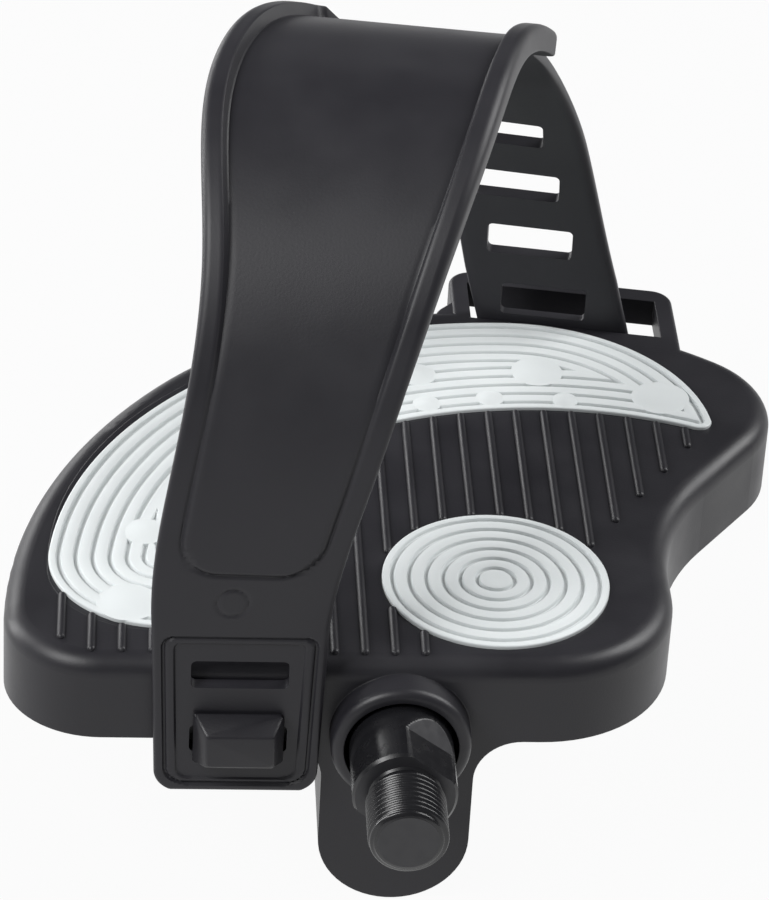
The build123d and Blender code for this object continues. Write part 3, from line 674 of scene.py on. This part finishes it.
def crescent_middle(rim):
    """The pad's middle inside its last whole groove, with one more short groove round the toe."""
    rim = rim[np.linalg.norm(rim - np.roll(rim, -1, axis=0), axis=1) > FILL_SAME_POINT]
    columns, rows = (np.arange(rim[:, i].min(), rim[:, i].max(), FILL_SPACING) for i in range(2))
    across, along = np.meshgrid(columns, rows)
    inside = np.column_stack([across.ravel(), along.ravel()])
    inside = inside[outline_distance(inside, rim) > FILL_MARGIN]
    corners = [Vector(p) for p in rim] + [Vector(p) for p in inside]
    edges = [(i, (i + 1) % len(rim)) for i in range(len(rim))]
    places, _, triangles, *_ = delaunay_2d_cdt(corners, edges, [], 1, FILL_TOLERANCE)
    places = np.array([tuple(p) for p in places])
    from_groove = np.abs(outline_distance(places, crescent_outline(0.0)) - LAST_GROOVE)
    depth = GROOVE_DEPTH * (1 - smooth_step(LAST_GROOVE_FLOOR, 1.0, from_groove / (GROOVE_WIDTH / 2)))
    return np.column_stack([places, PAD_TOP - depth]), triangles


def dome_cap(x, y, radius):
    """A low round dome with a skirt that fills the grooves under it."""
    profile = [(1, PAD_TOP - GROOVE_DEPTH)]
    for share in np.linspace(1, DOME_TIP, DOME_RINGS):
        profile.append((share, PAD_TOP + DOME_RISE * (1 - share ** 2) ** DOME_POWER))
    rings = [level_ring(circle((x, y), radius * share, DOME_SEGMENTS), height) for share, height in profile]
    return np.vstack(rings), band_faces(len(rings), DOME_SEGMENTS)


def add_crescent_pad():
    """The crescent tread: grooves that follow its edge, a filled middle, and domes."""
    rings = [level_ring(crescent_outline(inset), height)
             for inset, height in pad_section(CRESCENT_GROOVES)[:-1]]
    border = (np.vstack(rings), band_faces(len(rings), len(rings[0]))[:-1])
    middle = crescent_middle(rings[-1][:, :2])
    domes = [dome_cap(*dome) for dome in DOMES]
    mesh = make_mesh("crescent_tread", *joined([border, middle] + domes))
    place_piece("crescent_tread", mesh, "platform", "pale_pad", "crescent_pad")


def add_pad_seat():
    """A black border that closes the seat's edge round the crescent pad."""
    section = ((-SEAT_LAP, TOP - SEAT_LAP), (-SEAT_LAP, TOP), (SEAT_WIDTH, TOP - SEAT_FALL),
               (SEAT_WIDTH, TOP - PAD_SEAT), (0, TOP - PAD_SEAT), (-SEAT_LAP, TOP - SEAT_LAP))
    rings = [level_ring(crescent_outline(inset, SEAT_PLAN), height) for inset, height in section]
    faces = band_faces(len(rings), len(rings[0]))[:-2]
    place_piece("pad_seat", make_mesh("pad_seat", np.vstack(rings), faces), "platform", "black_plastic")


def lowest_crossing(outline, x):
    """The lowest place where a closed outline crosses a line along Y."""
    following = np.roll(outline, -1, axis=0)
    crosses = (outline[:, 0] - x) * (following[:, 0] - x) < 0
    start, end = outline[crosses], following[crosses]
    share = (x - start[:, 0]) / (end[:, 0] - start[:, 0])
    return (start[:, 1] + share * (end[:, 1] - start[:, 1])).min()


def rib_far_end(index, x):
    """Where a rib stops before the crescent pad."""
    if index < len(TOE_RIB_FAR):
        return TOE_RIB_FAR[index]
    seat = crescent_outline(-RIB_PAD_GAP, SEAT_PLAN)
    return max(lowest_crossing(seat, x + side) for side in (-RIB_HALF_WIDTH, RIB_HALF_WIDTH))


def rib_spans():
    """Each crest's place across, near end and far end, clear of the pads and the smooth heel."""
    pad_x, pad_y = ROUND_PAD_CENTRE
    reach = ROUND_PAD_RADIUS + RIB_PAD_GAP
    spans = []
    for index in range(RIB_COUNT):
        x = RIB_FIRST + index * RIB_PITCH
        near = TOE_RIB_NEAR[index] if index < len(TOE_RIB_NEAR) else RIB_NEAR
        far = rib_far_end(index, x)
        aside = abs(x - pad_x) + RIB_HALF_WIDTH
        chord = math.sqrt(max(reach ** 2 - aside ** 2, 0))
        if x > HEEL_LINE[0][0]:
            heel = np.interp(x - RIB_HALF_WIDTH, *zip(*HEEL_LINE))
            spans.append((x, max(heel, pad_y + chord), far))
        elif chord:
            spans += [(x, near, pad_y - chord), (x, pad_y + chord, far)]
        else:
            spans.append((x, near, far))
    return [(x, round(near, RIB_END_DECIMALS), round(far, RIB_END_DECIMALS)) for x, near, far in spans]


def rib_crest(x, near, far):
    """A round-topped bar with round ends, from one end's centre to the other's."""
    turns = np.radians(np.linspace(-RIB_SINK, 180 + RIB_SINK, RIB_COLUMNS))
    ends = np.radians(RIB_END_ANGLES)
    stations = [(near - RIB_RADIUS * math.cos(a), math.sin(a)) for a in ends]
    stations += [(far + RIB_RADIUS * math.cos(a), math.sin(a)) for a in ends[::-1]]
    rings = []
    for y, size in stations:
        radius = RIB_RADIUS * max(size, RIB_TIP)
        rings.append(np.column_stack([x + radius * np.cos(turns), np.full(RIB_COLUMNS, y),
                                      TOP + radius * np.sin(turns)]))
    return np.vstack(rings), band_faces(len(rings), RIB_COLUMNS)


def add_ribs():
    """One crest over each moulded rib."""
    mesh = make_mesh("tread_ribs", *joined([rib_crest(*span) for span in rib_spans()]))
    place_piece("tread_ribs", mesh, "platform", "black_plastic")


def add_hulls(name, hulls):
    """A black moulding on the platform made of convex solids with round edges, by their corners."""
    work = bmesh.new()
    for corners in hulls:
        bmesh.ops.convex_hull(work, input=[work.verts.new(Vector(c) * MM) for c in corners])
    bmesh.ops.bevel(work, geom=work.edges[:], offset=HULL_EDGE * MM, segments=HULL_EDGE_SEGMENTS,
                    profile=0.5, affect="EDGES")
    bmesh.ops.recalc_face_normals(work, faces=work.faces)
    mesh = bpy.data.meshes.new(name)
    work.to_mesh(mesh)
    work.free()
    place_piece(name, mesh, "platform", "black_plastic")


def block_corners(ends):
    """The corners of a block between two upright rectangles."""
    return [(x, y, z) for left, right, y, bottom, top in ends
            for x in (left, right) for z in (bottom, top)]


def add_strap_button():
    """The near strap button's bevelled head, and its root below the platform's wall."""
    add_hulls("strap_button", [block_corners(BUTTON_HEAD), block_corners(BUTTON_ROOT)])


def add_loop_web():
    """The web that joins the far loop's left side to the platform."""
    add_hulls("loop_web", [[(x, y, z) for x, y in LOOP_WEB for z in LOOP_WEB_HEIGHTS]])


def spindle_turns():
    """Angles round the spindle, with columns at the edges of both flats."""
    reach = math.degrees(math.acos(FLAT_HALF / COLLAR_RADIUS))
    turns = []
    for middle in (FLAT_ANGLE, FLAT_ANGLE + 180):
        start, end = middle - reach, middle + reach
        turns += list(np.linspace(start, end, FLAT_COLUMNS, endpoint=False))
        turns += list(np.linspace(end, start + 180, ROUND_COLUMNS, endpoint=False))
    return np.radians(turns)


def thread_profile(turns):
    """The crank thread from the end face to the relief: places along the spindle and radii."""
    end = THREAD_RADIUS - THREAD_CHAMFER
    profile = [(-THREAD_LENGTH, end * END_FACE_SHARE), (-THREAD_LENGTH, end - END_EDGE_WIDTH),
               (-THREAD_LENGTH + END_EDGE_LENGTH, end)]
    first = -THREAD_LENGTH + THREAD_FIRST
    for y in np.arange(first, -RELIEF_LENGTH, THREAD_STEP):
        from_end = y + THREAD_LENGTH
        groove = 0.5 - 0.5 * np.cos(2 * math.pi * from_end / THREAD_PITCH - turns)
        fade = smooth_step(first, first + THREAD_START, y)
        crest = min(THREAD_RADIUS - THREAD_CREST_CUT, end + from_end * THREAD_CHAMFER_SLOPE)
        profile.append((y, crest - THREAD_DEPTH * groove * fade))
    return profile


def collar_profile(turns):
    """The relief, and the collar with two flats that run out: places along the spindle and radii."""
    slant = np.maximum(np.abs(np.cos(turns - math.radians(FLAT_ANGLE))), LEAST_SLANT)
    flats = np.minimum(COLLAR_RADIUS, FLAT_HALF / slant)
    profile = [(-RELIEF_LENGTH + RELIEF_STEP, RELIEF_RADIUS), (-RELIEF_FILLET, RELIEF_RADIUS),
               (0, RELIEF_RADIUS + RELIEF_FILLET),
               (0, np.minimum(flats, COLLAR_RADIUS - COLLAR_CHAMFER)), (COLLAR_CHAMFER, flats)]
    for share in np.linspace(0, 1, RUNOUT_RINGS):
        half = FLAT_HALF + share * (COLLAR_RADIUS - FLAT_HALF)
        profile.append((FLAT_LENGTH + share * RUNOUT_LENGTH, np.minimum(COLLAR_RADIUS, half / slant)))
    return profile + [(COLLAR_LENGTH, COLLAR_RADIUS)]


def add_spindle():
    """The pedal axle: crank thread, relief, collar with spanner flats, and the plain inside length."""
    turns = spindle_turns()
    rings = []
    for y, radius in thread_profile(turns) + collar_profile(turns) + SPINDLE_INSIDE:
        radius = np.broadcast_to(radius, turns.shape)
        rings.append(np.column_stack([radius * np.cos(turns), np.full(len(turns), y),
                                      radius * np.sin(turns)]))
    mesh = make_mesh("pedal_axle", np.vstack(rings), band_faces(len(rings), len(turns)))
    place_piece("pedal_axle", mesh, "spindle", "black_steel", "spindle", sharp=SPINDLE_SHARP_ANGLE)


def spline(knots, values, places, start=None, end=None):
    """A smooth curve through values at knots, with set end slopes or else straight ends."""
    knots, values = np.asarray(knots, float), np.asarray(values, float)
    column = (-1,) + (1,) * (values.ndim - 1)
    step = np.diff(knots)
    slope = np.diff(values, axis=0) / step.reshape(column)
    count = len(knots)
    matrix = np.zeros((count, count))
    right = np.zeros(values.shape)
    for i in range(1, count - 1):
        matrix[i, i - 1:i + 2] = step[i - 1] / 6, (step[i - 1] + step[i]) / 3, step[i] / 6
        right[i] = slope[i] - slope[i - 1]
    if start is None:
        matrix[0, 0] = matrix[-1, -1] = 1
    else:
        matrix[0, :2] = step[0] / 3, step[0] / 6
        matrix[-1, -2:] = step[-1] / 6, step[-1] / 3
        right[0], right[-1] = slope[0] - start, end - slope[-1]
    bend = np.linalg.solve(matrix, right)
    index = np.clip(np.searchsorted(knots, places) - 1, 0, count - 2)
    h = step[index].reshape(column)
    a = (knots[index + 1] - places).reshape(column) / h
    b = 1 - a
    return (a * values[index] + b * values[index + 1]
            + ((a ** 3 - a) * bend[index] + (b ** 3 - b) * bend[index + 1]) * h ** 2 / 6)


def lengths_along(points):
    """The distance along a line of points, at each of them."""
    return np.concatenate([[0], np.cumsum(np.linalg.norm(np.diff(points, axis=0), axis=1))])


def corner_distance(first, second, radius):
    """How far a point lies inside two straight edges that meet in a round corner."""
    a, b = np.maximum(radius - first, 0), np.maximum(radius - second, 0)
    return np.where((a > 0) & (b > 0), radius - np.hypot(a, b), np.minimum(first, second))


def edge_drop(distance, radius):
    """How far a rounded edge falls away at a distance in from the outline."""
    inside = np.clip(radius - distance, 0, radius)
    return radius - np.sqrt(radius ** 2 - inside ** 2)


def long_panel(places, inset, growth):
    """The height of the rims and of the long panel between them, with a crease round the panel."""
    inside = corner_distance(inset - RIM_WIDTH, places - PANEL_START, PANEL_CORNER)
    inside = np.where(places < RIM_END, inside, RIM_WIDTH)
    share = smooth_step(-PANEL_SLOPE, PANEL_SLOPE, inside)
    fade = smooth_step(*PANEL_FADE, places)
    height = RIM_RISE * growth * (1 - share) + (PANEL_RISE - PANEL_FALL * fade) * share
    crease = PANEL_CREASE * (1 - CREASE_FADE * fade)
    return height - crease * (1 - smooth_step(0, CREASE_WIDTH, np.abs(inside)))


def tab_panel(from_end, inset):
    """The depth of a tab's groove and of the sunk field inside it."""
    low = from_end - TAB_PANEL_EDGE
    high = TAB_PANEL_LENGTH - low
    groove_inset, field_inset = inset - TAB_GROOVE_INSET, inset - TAB_FIELD_INSET
    groove = np.minimum(corner_distance(groove_inset, low, TAB_GROOVE_CORNERS[0]),
                        corner_distance(groove_inset, high, TAB_GROOVE_CORNERS[1]))
    field = np.minimum(corner_distance(field_inset, low - TAB_FIELD_MARGIN, TAB_FIELD_CORNERS[0]),
                       corner_distance(field_inset, high - TAB_FIELD_MARGIN, TAB_FIELD_CORNERS[1]))
    return (TAB_GROOVE_DEPTH * (1 - smooth_step(*TAB_GROOVE_SLOPE, np.abs(groove)))
            + TAB_FIELD_DEPTH * smooth_step(0, TAB_FIELD_SLOPE, field))


class Strap:
    """The strap's middle line, directions and faces, by the distance from the near end."""

    def __init__(self):
        lean, turn = math.radians(FAR_LEAN), math.radians(FAR_TURN)
        across = np.array((math.cos(turn), math.sin(turn), 0))
        self.down = across * math.sin(lean) - UP * math.cos(lean)
        places, widths, turns, rolls = zip(*STRAP_PATH)
        points = np.array([NEAR_TOP, *places, FAR_TOP])
        knots = lengths_along(points)
        fine = np.linspace(0, knots[-1], PATH_STEPS)
        self.line = spline(knots, points, fine, UP, self.down)
        self.fine = lengths_along(self.line) + NEAR_TAB_LENGTH
        self.curve_end = self.fine[-1]
        self.end = self.curve_end + FAR_TAB_DROP / math.cos(lean)
        self.widths = spline(knots, [NEAR_TOP_WIDTH, *widths, FAR_WIDTH], fine)
        self.turns = spline(knots, [0.0, *turns, FAR_TURN], fine)
        self.rolls = spline(knots, [0.0, *rolls, 0.0], fine)

    def at(self, places):
        """Middle points, and the directions across and out, at distances from the near end."""
        places = np.asarray(places, float)
        middle = np.column_stack([np.interp(places, self.fine, self.line[:, i]) for i in range(3)])
        before = np.minimum(places - NEAR_TAB_LENGTH, 0)
        after = np.maximum(places - self.curve_end, 0)
        middle = middle + before[:, None] * UP + after[:, None] * self.down
        slope = np.gradient(self.line, self.fine, axis=0)
        slope = np.column_stack([np.interp(places, self.fine, slope[:, i]) for i in range(3)])
        slope[places <= NEAR_TAB_LENGTH] = UP
        slope[places >= self.curve_end] = self.down
        turn = np.radians(np.interp(places, self.fine, self.turns))
        roll = np.radians(np.interp(places, self.fine, self.rolls))
        level = np.cos(roll)
        across = np.column_stack([np.cos(turn) * level, np.sin(turn) * level, np.sin(roll)])
        out = np.cross(across, slope)
        out /= np.linalg.norm(out, axis=1)[:, None]
        return middle, across, out

    def half_width(self, places):
        """Half the strap's width, with round corners at both ends."""
        tab = np.interp(places, [0, NEAR_TAB_LENGTH], [NEAR_END_WIDTH, NEAR_TOP_WIDTH])
        width = np.where(places < NEAR_TAB_LENGTH, tab, np.interp(places, self.fine, self.widths))
        neck = NECK_DEPTH * (1 - smooth_step(RIM_END, RIM_END + NECK_LENGTH, places))
        narrowing = np.where(places < RIM_END, edge_drop(RIM_END - places, RIM_END_ROUND), neck)
        return width / 2 - narrowing - edge_drop(np.minimum(places, self.end - places), STRAP_CORNER)

    def edge_distance(self, places, offset, half):
        """How far a point lies in from the strap's outline."""
        return np.minimum(half - np.abs(offset), np.minimum(places, self.end - places))

    def outer_height(self, places, offset, half):
        """The upper face's height over the strap's middle: rims, panels, ring mark and round edges."""
        inset = half - np.abs(offset)
        growth = smooth_step(*RIM_GROWTH, places) * (places < RIM_END)
        height = STRAP_HALF + long_panel(places, inset, growth)
        for from_end in (places, self.end - places):
            height = height - tab_panel(from_end, inset)
        ring = np.abs(np.hypot(offset - MARK_PLACE[0], places - MARK_PLACE[1]) - MARK_RADIUS)
        height = height - MARK_DEPTH * (1 - smooth_step(*MARK_SLOPE, ring))
        rounding = OUTER_ROUND + (RIM_ROUND - OUTER_ROUND) * growth
        return height - edge_drop(self.edge_distance(places, offset, half), rounding)

    def inner_height(self, places, offset, half):
        """The lower face's height, with wide soft edges on the far length."""
        distance = self.edge_distance(places, offset, half)
        far = smooth_step(RIM_END, RIM_END + NECK_LENGTH / 2, places)
        soft = FAR_ROUND_SHARE * edge_drop(distance, FAR_ROUND)
        return -STRAP_HALF + (1 - far) * edge_drop(distance, INNER_ROUND) + far * soft


def column_offsets(edge, middle, half):
    """Offsets across the strap in each row: columns along each edge, and even ones between them."""
    last = edge[-1]
    squeeze = np.minimum(1, half / (last + COLUMN_MARGIN))
    left = [-(half - distance * squeeze) for distance in edge]
    right = [half - distance * squeeze for distance in edge[::-1]]
    between = [share * (half - last * squeeze) for share in np.linspace(-1, 1, middle + 2)[1:-1]]
    return np.column_stack(left + between + right)


def strap_rows(strap):
    """Distances along the strap for its rows, closer together where there is detail."""
    rows = [
        END_ROWS,
        np.arange(*NEAR_ROWS, NEAR_STEP),
        np.arange(NEAR_ROWS[1], RIM_END - RIM_ROWS_MARGIN[0], RIM_STEP),
        RIM_END + RIM_END_ROWS,
        np.arange(RIM_END + RIM_ROWS_MARGIN[1], strap.end - FAR_ROWS[0], NECK_STEP),
        np.arange(strap.end - FAR_ROWS[0], strap.end - FAR_ROWS[1], FAR_STEP),
        strap.end - END_ROWS,
    ]
    return np.unique(np.round(np.concatenate(rows), ROW_DECIMALS))


def slot_cutter(middle, across, out, size):
    """A bar with rounded corners through the strap."""
    up = np.cross(out, across)
    corners = []
    for sx, sz, first in ((1, 1, 0), (-1, 1, 90), (-1, -1, 180), (1, -1, 270)):
        for turn in np.radians(np.linspace(first, first + 90, SLOT_CORNER_POINTS)):
            corners.append((sx * (size[0] / 2 - SLOT_CORNER) + SLOT_CORNER * math.cos(turn),
                            sz * (size[1] / 2 - SLOT_CORNER) + SLOT_CORNER * math.sin(turn)))
    points = [middle + across * x + up * z + out * depth
              for depth in (-SLOT_REACH, SLOT_REACH) for x, z in corners]
    return points, band_faces(2, len(corners))


def cut_slots(mesh, strap):
    """The strap's mesh with its hook slots cut through."""
    slots = [(*slot, NEAR_SLOT) for slot in NEAR_SLOTS] + [(*slot, FAR_SLOT) for slot in FAR_SLOTS]
    middles, across, out = strap.at([place for place, _, _ in slots])
    cutters = [slot_cutter(middle + shift * sideways, sideways, outward, size)
               for (_, shift, size), middle, sideways, outward in zip(slots, middles, across, out)]
    body = bpy.data.objects.new("strap_blank", mesh)
    bars = bpy.data.objects.new("strap_slots", make_mesh("strap_slots", *joined(cutters)))
    for item in (body, bars):
        bpy.context.scene.collection.objects.link(item)
    cut = body.modifiers.new("slots", "BOOLEAN")
    cut.operation = "DIFFERENCE"
    cut.solver = "EXACT"
    cut.object = bars
    whole = body.evaluated_get(bpy.context.evaluated_depsgraph_get())
    made = bpy.data.meshes.new_from_object(whole)
    for item in (body, bars):
        bpy.data.objects.remove(item)
    return made


def add_strap():
    """The foot strap: a grid over both faces along the middle line, with the hook slots cut."""
    strap = Strap()
    rows = strap_rows(strap)
    middle, across, out = strap.at(rows)
    half = strap.half_width(rows)
    upper = column_offsets(EDGE_COLUMNS, MIDDLE_COLUMNS, half)
    lower = column_offsets(INNER_COLUMNS, INNER_MIDDLE, half)[:, ::-1]
    places = rows[:, None]
    high = strap.outer_height(places, upper, half[:, None])
    low = strap.inner_height(places, lower, half[:, None])
    offset = np.hstack([upper, lower])
    height = np.hstack([high, low])
    points = middle[:, None] + across[:, None] * offset[..., None] + out[:, None] * height[..., None]
    rings, columns = offset.shape
    mesh = make_mesh("strap_blank", points.reshape(-1, 3), band_faces(rings, columns))
    place_piece("foot_strap", cut_slots(mesh, strap), "platform", "strap_rubber", "strap")


def add_camera():
    """The camera at the photo's place and angle."""
    yaw, pitch, roll = (math.radians(a) for a in (CAMERA_YAW, CAMERA_PITCH, CAMERA_ROLL))
    flat = math.cos(pitch)
    forward = Vector((math.sin(yaw) * flat, math.cos(yaw) * flat, -math.sin(pitch)))
    level = Vector((math.cos(yaw), -math.sin(yaw), 0))
    upright = level.cross(forward)
    right = math.cos(roll) * level + math.sin(roll) * upright
    up = -math.sin(roll) * level + math.cos(roll) * upright
    turn = Matrix((right, up, -forward)).transposed().to_4x4()
    data = bpy.data.cameras.new("camera")
    data.sensor_width = SENSOR_WIDTH
    data.lens = CAMERA_FOCAL_PIXELS * SENSOR_WIDTH / max(IMAGE_WIDTH, IMAGE_HEIGHT)
    data.clip_start = CLIP_START * MM
    data.clip_end = CLIP_END * MM
    camera = bpy.data.objects.new("camera", data)
    camera.matrix_world = Matrix.Translation(Vector(CAMERA_PLACE) * MM) @ turn
    bpy.context.scene.collection.objects.link(camera)
    bpy.context.scene.camera = camera


def white_for_camera(tree, lit, share, gloss_share=0.0):
    """Mixes plain white into a shader, for what the camera sees of it directly and in reflections."""
    white = add(tree, "ShaderNodeEmission")
    path = add(tree, "ShaderNodeLightPath")
    gloss = add(tree, "ShaderNodeMath", operation="MULTIPLY")
    gloss.inputs[1].default_value = gloss_share
    weight = add(tree, "ShaderNodeMath", operation="MULTIPLY_ADD")
    weight.inputs[1].default_value = share
    mix = add(tree, "ShaderNodeMixShader")
    tree.links.new(path.outputs["Is Glossy Ray"], gloss.inputs[0])
    tree.links.new(path.outputs["Is Camera Ray"], weight.inputs[0])
    tree.links.new(gloss.outputs[0], weight.inputs[2])
    tree.links.new(weight.outputs[0], mix.inputs["Fac"])
    tree.links.new(lit, mix.inputs[1])
    tree.links.new(white.outputs[0], mix.inputs[2])
    return mix.outputs[0]


def add_floor():
    """The floor just under the part."""
    material, tree, shader = new_material("floor")
    shader.inputs["Base Color"].default_value = FLOOR_COLOUR
    shader.inputs["Roughness"].default_value = FLOOR_ROUGHNESS
    seen = white_for_camera(tree, shader.outputs[0], FLOOR_WHITE_SHARE, FLOOR_GLOSS_SHARE)
    tree.links.new(seen, tree.nodes["Material Output"].inputs["Surface"])
    half = FLOOR_SIZE / 2 * MM
    height = cad_low.z - FLOOR_GAP * MM
    corners = [(x * half, y * half, height) for x, y in ((-1, -1), (1, -1), (1, 1), (-1, 1))]
    mesh = bpy.data.meshes.new("floor")
    mesh.from_pydata(corners, [], [(0, 1, 2, 3)])
    mesh.materials.append(material)
    floor = bpy.data.objects.new("floor", mesh)
    bpy.context.scene.collection.objects.link(floor)


def add_world():
    """The room's light, seen by the camera as white."""
    world = bpy.data.worlds.new("studio")
    bpy.context.scene.world = world
    world.use_nodes = True
    tree = world.node_tree
    light = tree.nodes["Background"]
    light.inputs["Color"].default_value = WORLD_COLOUR
    light.inputs["Strength"].default_value = WORLD_LIGHT
    seen = white_for_camera(tree, light.outputs[0], 1.0)
    tree.links.new(seen, tree.nodes["World Output"].inputs["Surface"])


def add_lamp(name, place, aim, size, power):
    """A soft rectangular lamp aimed at a point."""
    data = bpy.data.lights.new(name, "AREA")
    data.shape = "RECTANGLE"
    data.size = size[0] * MM
    data.size_y = size[1] * MM
    data.energy = power
    lamp = bpy.data.objects.new(name, data)
    start = Vector(place) * MM
    lamp.location = start
    lamp.rotation_mode = "QUATERNION"
    lamp.rotation_quaternion = (Vector(aim) * MM - start).to_track_quat("-Z", "Y")
    bpy.context.scene.collection.objects.link(lamp)


bpy.context.scene.view_settings.view_transform = "Standard"
dress_cad_nodes()
add_round_pad()
add_crescent_pad()
add_pad_seat()
add_ribs()
add_strap_button()
add_loop_web()
add_spindle()
add_strap()
add_camera()
add_floor()
add_world()
for lamp_name, lamp_values in LAMPS.items():
    add_lamp(lamp_name, *lamp_values)
